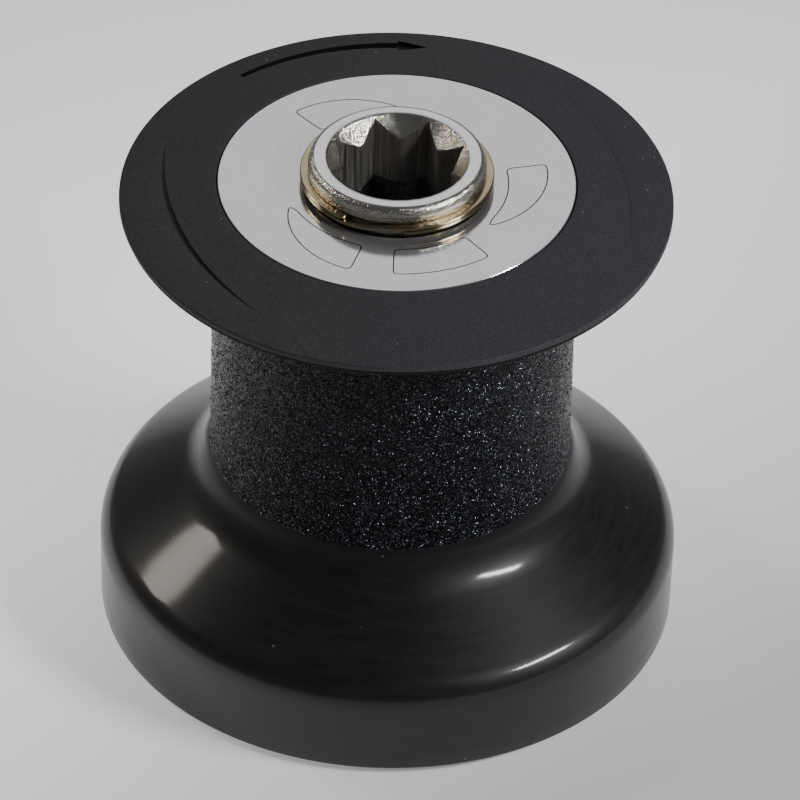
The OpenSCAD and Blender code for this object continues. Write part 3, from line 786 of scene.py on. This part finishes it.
def grow(piece, made, values):
    """Runs a geometry node tree on a piece with the given inputs, and keeps the plain mesh."""
    tree, sockets = made
    modifier = piece.modifiers.new("rule", "NODES")
    modifier.node_group = tree
    for label, value in values.items():
        modifier[sockets[label]] = value
    freeze(piece)


def grains_tree():
    """Scatters small broken grains over a surface, half sunk in it."""
    tree, sockets, given, out = geometry_tree("scattered_grains", [
        ("Grains per square metre", FLOAT, 500000.0), ("Smallest", FLOAT, 0.0001),
        ("Largest", FLOAT, 0.0003), ("Seed", "NodeSocketInt", SEED),
        ("Material", "NodeSocketMaterial", None)])
    scatter = add(tree, "GeometryNodeDistributePointsOnFaces", {
        "Mesh": given.outputs["Geometry"],
        "Density": given.outputs["Grains per square metre"], "Seed": given.outputs["Seed"]})
    grain = add(tree, "GeometryNodeMeshIcoSphere", {"Radius": 1.0, "Subdivisions": 1})
    turn = add(tree, "FunctionNodeRandomValue", {
        0: (0.0, 0.0, 0.0), 1: (2 * pi, 2 * pi, 2 * pi), "Seed": given.outputs["Seed"]},
        data_type="FLOAT_VECTOR")
    across = add(tree, "FunctionNodeRandomValue", {
        2: given.outputs["Smallest"], 3: given.outputs["Largest"]}, data_type="FLOAT")
    squash = add(tree, "FunctionNodeRandomValue", {
        0: (0.5, 0.7, 0.5), 1: (1.3, 1.0, 1.2), "Seed": 3}, data_type="FLOAT_VECTOR")
    size = add(tree, "ShaderNodeVectorMath", {0: squash.outputs[0], "Scale": across.outputs[1]},
               operation="SCALE")
    placed = add(tree, "GeometryNodeInstanceOnPoints", {
        "Points": scatter.outputs["Points"], "Instance": grain.outputs["Mesh"],
        "Rotation": turn.outputs[0], "Scale": size.outputs[0]})
    real = add(tree, "GeometryNodeRealizeInstances", {"Geometry": placed.outputs[0]})
    flat = add(tree, "GeometryNodeSetShadeSmooth", {
        "Geometry": real.outputs[0], "Shade Smooth": False})
    done = add(tree, "GeometryNodeSetMaterial", {
        "Geometry": flat.outputs[0], "Material": given.outputs["Material"]})
    tree.links.new(done.outputs[0], out.inputs[0])
    return tree, sockets


def make_grains():
    """The coarsest grains, which stand out of the barrel's grit."""
    lift, steps, margin = 0.35 * GRIT_DEPTH, 96, 0.4
    heights = [GRIT_LOW + margin, BARREL_Z, BARREL_TOP, GRIT_HIGH - margin]
    verts = [(*polar(barrel_line(z) + lift, 360 * i / steps), z)
             for z in heights for i in range(steps)]
    faces = []
    for low in range(0, steps * (len(heights) - 1), steps):
        high = low + steps
        for i in range(steps):
            j = (i + 1) % steps
            faces.append((low + i, low + j, high + j, high + i))
    grains = mesh_object("barrel_grains", verts, faces, [GRIT_GRAIN])
    grow(grains, grains_tree(), {
        "Grains per square metre": 620000.0, "Smallest": 0.08 * MM,
        "Largest": 0.24 * MM, "Seed": SEED, "Material": GRIT_GRAIN})
    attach(grains, "drum")


# ---- crown ring


def crown_surface(r):
    """Height of the crown's cone at a radius."""
    edge_z, rim_r = DRUM_TOP + CROWN_EDGE, CROWN_SEAT_R + CROWN_RIM
    return edge_z + (DISC_TOP - edge_z) * (FLANGE_R - r) / (FLANGE_R - rim_r)


def arrow_outline():
    """A curved arrow that points clockwise, its shaft widening towards the head."""
    tail, neck, tip, barb_out, barb_in, nudge = 111.0, 71.0, 63.8, 1.9, 2.2, 0.2
    count = 40
    spread = [tail + (neck - tail) * i / count for i in range(count + 1)]
    half = [0.5 + 0.5 * i / count for i in range(count + 1)]
    outer = [polar(ARROW_R + h, a) for a, h in zip(spread, half)]
    inner = [polar(ARROW_R - nudge - h, a) for a, h in zip(spread, half)]
    head = [polar(ARROW_R + barb_out, neck - nudge), polar(ARROW_R - nudge, tip),
            polar(ARROW_R - barb_in, neck - nudge)]
    return outer + head + inner[::-1]


def facet_cutter(side):
    """What is milled off outside a wide arc, down to a level facet."""
    count, across, above = 90, 70.0, 5
    bend = []
    for i in range(count + 1):
        a = radians(-FACET_ARC_HALF + 2 * FACET_ARC_HALF * i / count)
        bend.append((side * FACET_ARC_OUT + FACET_ARC_R * -side * cos(a), FACET_ARC_R * sin(a)))
    far = -side * across
    outline = bend + [(far, bend[-1][1]), (far, bend[0][1])]
    return prism("facet_cutter", outline, FACET_Z, DISC_TOP + above, [CROWN_BLACK])


def make_crown():
    """The crown ring, with the arrow and the two level facets cut into its cone."""
    edge, low_round, edge_round = DRUM_TOP + CROWN_EDGE, 0.3, 0.35
    rim_r = CROWN_SEAT_R + CROWN_RIM
    outline = arc(CROWN_R - low_round, DRUM_TOP + low_round, low_round, 270, 360, 3)
    outline += arc(CROWN_R - edge_round, edge - edge_round, edge_round, 0, 80, 4)
    outline += line((FLANGE_R, edge), (rim_r, DISC_TOP), 8)[1:]
    outline += arc(rim_r, DISC_TOP - CROWN_RIM, CROWN_RIM, 80, 180, 4)
    outline += [(CROWN_SEAT_R, DISC_TOP - DISC_T), (CROWN_BORE_R, DISC_TOP - DISC_T),
                (CROWN_BORE_R, DRUM_TOP)]
    # The odd start keeps the ring's edges off the cutters' corners
    crown = turned("crown_ring_body", lambda a: outline, 320, [CROWN_BLACK], start=0.37)
    arrow_foot, arrow_head = crown_surface(44) - ARROW_DEPTH, DISC_TOP + 2
    # The arrow's cut takes SHADED_GROOVE_BLACK, whose dark colour is painted shade in the groove
    arrow = prism("arrow_cutter", arrow_outline(), arrow_foot, arrow_head, [SHADED_GROOVE_BLACK])
    cut(crown, [arrow, facet_cutter(1), facet_cutter(-1)])
    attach(crown, "drum")
    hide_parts("crown_ring")


# ---- cover disc


def rounded(points, spacing=0.25, passes=14):
    """A closed outline in even small steps, its corners worn round."""
    p = np.asarray(points, float)
    sides = np.linalg.norm(np.roll(p, -1, 0) - p, axis=1)
    run = np.concatenate([[0.0], np.cumsum(sides)])
    steps = np.arange(0.0, run[-1], spacing)
    loop = np.vstack([p, p[:1]])
    even = np.c_[np.interp(steps, run, loop[:, 0]), np.interp(steps, run, loop[:, 1])]
    for _ in range(passes):
        even = (np.roll(even, 1, 0) + 2 * even + np.roll(even, -1, 0)) / 4
    return [tuple(q) for q in even]


def blade_outline(start):
    """Sector that narrows to a point, clockwise from its wide end."""
    count, outer_r, drop, bend = 20, 27.2, 6.6, 1.75
    turns = [BLADE_TURN * i / count for i in range(count + 1)]
    outer = [polar(outer_r - drop * (u / BLADE_TURN) ** bend, start - u) for u in turns]
    inner = [polar(SECTOR_R, start - u) for u in turns[:-2]]
    return rounded(outer + inner[::-1])


def badge_outline():
    """Even sector between two of the blades."""
    count, outer_r = 12, 27.0
    spread = [BADGE_START + BADGE_TURN * i / count for i in range(count + 1)]
    outer = [polar(outer_r, a) for a in spread]
    inner = [polar(SECTOR_R, a) for a in spread]
    return rounded(outer + inner[::-1])


def groove_cutter(name, outline):
    """A thin closed strip that follows an outline, cut into the disc's face."""
    n = len(outline)
    sides = []
    for i in range(n):
        before, here, after = (Vector(outline[k % n]) for k in (i - 1, i, i + 1))
        along = ((here - before).normalized() + (after - here).normalized()).normalized()
        across = Vector((-along.y, along.x)) * ETCH_WIDTH / 2
        sides.append((here - across, here + across))
    low, high = DISC_TOP - ETCH_DEPTH, DISC_TOP + 0.5
    verts, faces = [], []
    for i, (left, right) in enumerate(sides):
        verts += [(*left, low), (*right, low), (*right, high), (*left, high)]
        here, there = 4 * i, 4 * ((i + 1) % n)
        for k in range(4):
            after = (k + 1) % 4
            faces.append((here + k, here + after, there + after, there + k))
    return mesh_object(name, verts, faces, [ETCHED])


def make_disc():
    """The cover disc with its collar underneath, its outlines cut as fine grooves."""
    bevel, hole_bevel, hole_r = 0.12, 0.1, HEAD_R + 0.7
    collar_in, collar_out = HEAD_R + 4.3, HEAD_R + 6.3
    collar_z = bottom_of("top_disc")
    low = DISC_TOP - DISC_T
    outline = [(hole_r, DISC_TOP - hole_bevel), (hole_r + hole_bevel, DISC_TOP)]
    outline += line((hole_r + 1, DISC_TOP), (DISC_R - bevel, DISC_TOP), 6)
    outline += [(DISC_R - bevel, DISC_TOP), (DISC_R, DISC_TOP - bevel), (DISC_R, low),
                (collar_out, low), (collar_out, collar_z), (collar_in, collar_z),
                (collar_in, low), (hole_r, low)]
    disc = turned("cover_disc", lambda a: outline, 256, [DISC_METAL])
    outlines = [blade_outline(FIRST_BLADE + 120 * k) for k in range(3)] + [badge_outline()]
    cut(disc, [groove_cutter(f"groove_{k}", points) for k, points in enumerate(outlines)])
    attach(disc, "drum")
    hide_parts("top_disc")


# ---- spindle


def star_radius(a):
    """Distance to the socket's wall: two crossed squares, their inner ridges softened."""
    soft, ridge = 0.12, 1.2
    reach = []
    for turn in (0, 45):
        off = (a - turn + 45) % 90 - 45
        reach.append(STAR_FLAT / cos(radians(off)))
    top = max(reach)
    if abs(reach[0] - reach[1]) >= ridge:
        return top
    return top + soft * log(sum(exp((r - top) / soft) for r in reach))


def head_section(a):
    """The head's wall at one angle, from the seam up outside and down the socket."""
    wall = star_radius(a)
    groove_low, groove_high = RING_Z - RING_PLAY, RING_TOP + RING_PLAY
    outer = [(HEAD_R, HEAD_Z), (HEAD_R, DISC_TOP - 2), (HEAD_R, RING_Z - 0.15),
             (HEAD_R - 0.1, groove_low), (SHAFT_R, groove_low), (SHAFT_R, groove_high),
             (HEAD_R - 0.12, groove_high), (HEAD_R, RING_TOP + 0.17)]
    outer += [(HEAD_R - HEAD_ROUND * (1 - x), HEAD_TOP - HEAD_DROP * (1 - z))
              for x, z in arc(0, 0, 1, 0, 90, 10)]
    mouth = (MOUTH_R, HEAD_TOP - 0.05)
    face_edge = (MOUTH_R + 0.12, HEAD_TOP)
    outer += line((HEAD_R - HEAD_ROUND - 0.3, HEAD_TOP), face_edge, 2)
    outer += [face_edge, mouth]
    depth = MOUTH_R - wall
    lip = (wall, HEAD_TOP - 0.05 - depth)
    bevel = line(mouth, lip, 6)[1:]
    round_off = min(0.1, depth / 4)
    down = [(wall + round_off, lip[1] + round_off), (wall, lip[1] - round_off)]
    steps = 6
    bore = [(wall, lip[1] - 0.1 + (HEAD_Z - lip[1] + 0.1) * (i / steps))
            for i in range(1, steps + 1)]
    return outer + bevel + down + bore


def lower_spindle():
    """The part of the spindle under the head, as the frame has it, closed where it was cut."""
    bm = bmesh.new()
    bm.from_mesh(frame["nodes"]["spindle"].data)
    bmesh.ops.remove_doubles(bm, verts=bm.verts, dist=1e-6)
    seam = SEAM_Z * MM
    whole = bm.verts[:] + bm.edges[:] + bm.faces[:]
    made = bmesh.ops.bisect_plane(bm, geom=whole, plane_co=(0, 0, seam), plane_no=(0, 0, 1),
                                  clear_outer=True, dist=1e-7)
    rim = [e for e in made["geom_cut"] if isinstance(e, bmesh.types.BMEdge)]
    bmesh.ops.triangle_fill(bm, use_beauty=True, use_dissolve=False, edges=rim)
    bmesh.ops.recalc_face_normals(bm, faces=bm.faces)
    mesh = bpy.data.meshes.new("spindle_lower")
    bm.to_mesh(mesh)
    bm.free()
    return mesh


def make_spindle():
    """The head as one turned shell, and the frame's own shape below the seam."""
    head = turned("spindle_body", head_section, 768,
                  [HEAD_STEEL, FACE_STEEL, SOCKET_STEEL, PLAIN_STEEL], 24)
    face_slot, socket_slot, lower_slot = 1, 2, 3
    mesh = head.data
    for face in mesh.polygons:
        c = face.center / MM
        r = sqrt(c.x ** 2 + c.y ** 2)
        if face.normal.z > 0.9 and r > MOUTH_R and c.z > HEAD_TOP - 0.1:
            face.material_index = face_slot
        elif r < MOUTH_R and face.normal.z < 0.3 and c.z < HEAD_TOP - 0.5:
            face.material_index = socket_slot
    joined = bmesh.new()
    joined.from_mesh(mesh)
    above = len(joined.faces)
    joined.from_mesh(lower_spindle())
    joined.faces.ensure_lookup_table()
    for face in joined.faces[above:]:
        face.material_index = lower_slot
    joined.to_mesh(mesh)
    joined.free()
    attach(head, "spindle")
    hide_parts("spindle")


# ---- retaining ring


def band_tree():
    """A flat band, wound in a ring that climbs once, with rounded corners and ends."""
    tree, sockets, given, out = geometry_tree("wound_band", [
        ("Middle radius", FLOAT, 0.016), ("Width", FLOAT, 0.0022), ("Thickness", FLOAT, 0.0005),
        ("Corner", FLOAT, 0.0002), ("Foot", FLOAT, 0.09), ("Climb", FLOAT, 0.0006),
        ("Start", FLOAT, 0.0), ("Total turn", FLOAT, 11.9), ("Climb from", FLOAT, 5.6),
        ("Climb over", FLOAT, 0.64), ("Material", "NodeSocketMaterial", None)])
    get = given.outputs
    half = over(tree, get["Width"], 2.0)
    lath = add(tree, "GeometryNodeCurvePrimitiveLine")
    steps = add(tree, "GeometryNodeResampleCurve", {"Curve": lath.outputs[0], "Count": 1000})
    share = add(tree, "GeometryNodeSplineParameter").outputs["Factor"]
    turned_by = times(tree, share, get["Total turn"])
    angle = plus(tree, get["Start"], turned_by)
    climbed = over(tree, minus(tree, turned_by, get["Climb from"]), get["Climb over"])
    ramp = add(tree, "ShaderNodeMapRange", {"Value": climbed}, interpolation_type="SMOOTHSTEP")
    middle_z = plus(tree, get["Foot"], over(tree, get["Thickness"], 2.0))
    height = plus(tree, middle_z, times(tree, ramp.outputs["Result"], get["Climb"]))
    place = add(tree, "ShaderNodeCombineXYZ", {
        0: times(tree, get["Middle radius"], sums(tree, "COSINE", angle)),
        1: times(tree, get["Middle radius"], sums(tree, "SINE", angle)), 2: height})
    path = add(tree, "GeometryNodeSetPosition", {
        "Geometry": steps.outputs[0], "Position": place.outputs[0]})
    level = add(tree, "GeometryNodeSetCurveNormal", {"Curve": path.outputs[0]}, mode="Z_UP")
    near = sums(tree, "MINIMUM", turned_by, minus(tree, get["Total turn"], turned_by))
    to_end = add(tree, "GeometryNodeStoreNamedAttribute", {
        "Geometry": level.outputs[0], "Name": "to_end",
        "Value": times(tree, near, get["Middle radius"])}, data_type="FLOAT")
    flat = add(tree, "GeometryNodeCurvePrimitiveQuadrilateral", {
        "Width": get["Width"], "Height": get["Thickness"]})
    eased = add(tree, "GeometryNodeFilletCurve", {
        "Curve": flat.outputs[0], "Count": 4, "Radius": get["Corner"]}, mode="POLY")
    band = add(tree, "GeometryNodeCurveToMesh", {
        "Curve": to_end.outputs[0], "Profile Curve": eased.outputs[0], "Fill Caps": True})
    here = add(tree, "GeometryNodeInputPosition").outputs[0]
    x, y, z = add(tree, "ShaderNodeSeparateXYZ", {0: here}).outputs
    far = from_axis(tree, x, y)
    end = add(tree, "GeometryNodeInputNamedAttribute", {"Name": "to_end"},
              data_type="FLOAT").outputs["Attribute"]
    short = sums(tree, "MAXIMUM", 0.0, minus(tree, 1.0, over(tree, end, half)))
    taken = times(tree, 0.98, times(tree, short, short))
    slim = sums(tree, "SQRT", minus(tree, 1.0, taken))
    off_middle = times(tree, minus(tree, far, get["Middle radius"]), slim)
    scale = over(tree, plus(tree, get["Middle radius"], off_middle), far)
    drawn_in = add(tree, "ShaderNodeCombineXYZ", {
        0: times(tree, x, scale), 1: times(tree, y, scale), 2: z})
    rounded_band = add(tree, "GeometryNodeSetPosition", {
        "Geometry": band.outputs[0], "Position": drawn_in.outputs[0]})
    real = add(tree, "GeometryNodeRealizeInstances", {"Geometry": rounded_band.outputs[0]})
    done = add(tree, "GeometryNodeSetMaterial", {
        "Geometry": real.outputs[0], "Material": get["Material"]})
    tree.links.new(done.outputs[0], out.inputs[0])
    return tree, sockets


def make_retaining_ring():
    """Spiral ring: two turns with rounded ends, one stepping up to the other."""
    thick = (RING_TOP - RING_Z - RING_GAP) / 2
    inner_r = SHAFT_R + 0.1
    turn = 360 - RING_STEP
    ring = mesh_object("spiral_ring", [(0, 0, 0)], [], [RING_STEEL])
    grow(ring, band_tree(), {
        "Middle radius": (inner_r + RING_WIDTH / 2) * MM, "Width": RING_WIDTH * MM,
        "Thickness": thick * MM, "Corner": RING_CORNER * MM, "Foot": RING_Z * MM,
        "Climb": (thick + RING_GAP) * MM, "Start": radians(RING_STEP_START + RING_STEP),
        "Total turn": radians(2 * turn + RING_STEP), "Climb from": radians(turn),
        "Climb over": radians(RING_STEP), "Material": RING_STEEL})
    outward(ring.data)
    soften(ring.data, 50)
    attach(ring, "spindle")
    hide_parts("retaining_ring")


# ---- the frame's own nodes

FINISH_OF = {
    "base_alloy": BASE_ALLOY, "bronze": BRONZE, "acetal": ACETAL, "dark_sleeve": DARK_SLEEVE,
    "rubber": RUBBER, "spring_steel": PLAIN_STEEL, "bright_steel": HEAD_STEEL,
    "ring_steel": RING_STEEL, "disc": DISC_METAL, "crown": CROWN_BLACK, "drum_grip": SATIN_BLACK,
}


def finish_nodes():
    """Gives every node of the frame the finish that its slot stands for."""
    for part in frame["record"]["subparts"]:
        node = frame["nodes"][part["node"]]
        node.data.materials.clear()
        node.data.materials.append(FINISH_OF[part["material_slot"]])


# ---- floor, light, camera


def make_floor():
    """A pale floor with a painted pool of light: it glows near the winch and less further out,
    and a painted shadow dims it on the side of PAINTED_SHADOW_SIDE.
    """
    f = Finish("pale_floor", (0.86, 0.86, 0.85), 0.75)
    t = f.tree
    grain = f.use(GRAIN, Grains_per_metre=900.0)
    pale = blend(t, grain["Tone"], (0.84, 0.84, 0.83), (0.88, 0.88, 0.87))
    # Painted light and shadow: the glow pools round the winch and is dimmed on the side of
    # PAINTED_SHADOW_SIDE
    dim = (*polar(1.0, PAINTED_SHADOW_SIDE), 0.0)
    ahead = vector_sums(t, "DOT_PRODUCT", f.position, dim)["Value"]
    away = vector_sums(t, "LENGTH", f.position)["Value"]
    painted_light_pool = times(t, stretch(t, ahead, -0.06, 0.07, 1.0, 0.1),
                stretch(t, away, 0.1, 0.32, 1.0, 0.15))
    f.feed(Base_Color=pale, Emission_Color=blend(t, painted_light_pool, (0.0, 0.0, 0.0), pale))
    f.shader.inputs["Emission Strength"].default_value = 0.9
    corners = [(x * FLOOR_HALF, y * FLOOR_HALF, -FLOOR_GAP)
               for x, y in ((-1, -1), (1, -1), (1, 1), (-1, 1))]
    floor = mesh_object("floor", corners, [(0, 1, 2, 3)], [f.material])


def lamp(name, azimuth, elevation, distance, width, height, watts, color):
    """A soft box that faces the winch from a direction, azimuth counted from +X."""
    centre = Vector((0, 0, DISC_TOP / 2 * MM))
    data = bpy.data.lights.new(name, "AREA")
    data.shape = "RECTANGLE"
    data.size, data.size_y = width, height
    data.energy, data.color = watts, color
    box = bpy.data.objects.new(name, data)
    bpy.context.scene.collection.objects.link(box)
    a, e = radians(azimuth), radians(elevation)
    out = Vector((cos(a) * cos(e), sin(a) * cos(e), sin(e)))
    box.location = centre + out * distance
    box.rotation_euler = out.to_track_quat("Z", "Y").to_euler()


def make_light():
    """Dim even room light, two soft boxes and a wide panel behind."""
    warm, cool = (1.0, 0.93, 0.83), (0.97, 0.98, 1.0)
    world = bpy.data.worlds.new("studio")
    world.use_nodes = True
    room = world.node_tree.nodes["Background"]
    room.inputs["Color"].default_value = (0.9, 0.93, 1.0, 1.0)
    room.inputs["Strength"].default_value = 0.085
    bpy.context.scene.world = world
    lamp("left_back_box", azimuth=137, elevation=35, distance=1.1,
         width=0.27, height=0.2, watts=1.9, color=warm)
    lamp("right_front_box", azimuth=-42, elevation=37, distance=1.1,
         width=0.38, height=0.068, watts=8.8, color=cool)
    lamp("back_panel", azimuth=70, elevation=38, distance=1.2,
         width=0.8, height=0.5, watts=1.15, color=cool)


def make_camera():
    """A long lens from the front, a little to the left, looking down."""
    azimuth, elevation, roll = -19.8, 38.33, 1.6
    distance, lens, sensor = 1808.3, 450.0, 36.0
    aim_side, aim_height = 1.64, 44.4
    aim = Vector((*polar(aim_side, azimuth), aim_height))
    a, e, s = radians(azimuth), radians(elevation), radians(roll)
    back = Vector((sin(a) * cos(e), -cos(a) * cos(e), sin(e)))
    right = Vector((cos(a), sin(a), 0))
    up = back.cross(right)
    side, top = cos(s) * right + sin(s) * up, cos(s) * up - sin(s) * right
    data = bpy.data.cameras.new("camera")
    data.lens, data.sensor_width = lens, sensor
    camera = bpy.data.objects.new("camera", data)
    bpy.context.scene.collection.objects.link(camera)
    place = Matrix((side, top, back)).transposed().to_4x4()
    place.translation = (aim + distance * back) * MM
    camera.matrix_world = place
    bpy.context.scene.camera = camera


make_drum()
make_grains()
make_crown()
make_disc()
make_spindle()
make_retaining_ring()
finish_nodes()
make_floor()
make_light()
make_camera()

bpy.context.view_layer.update()
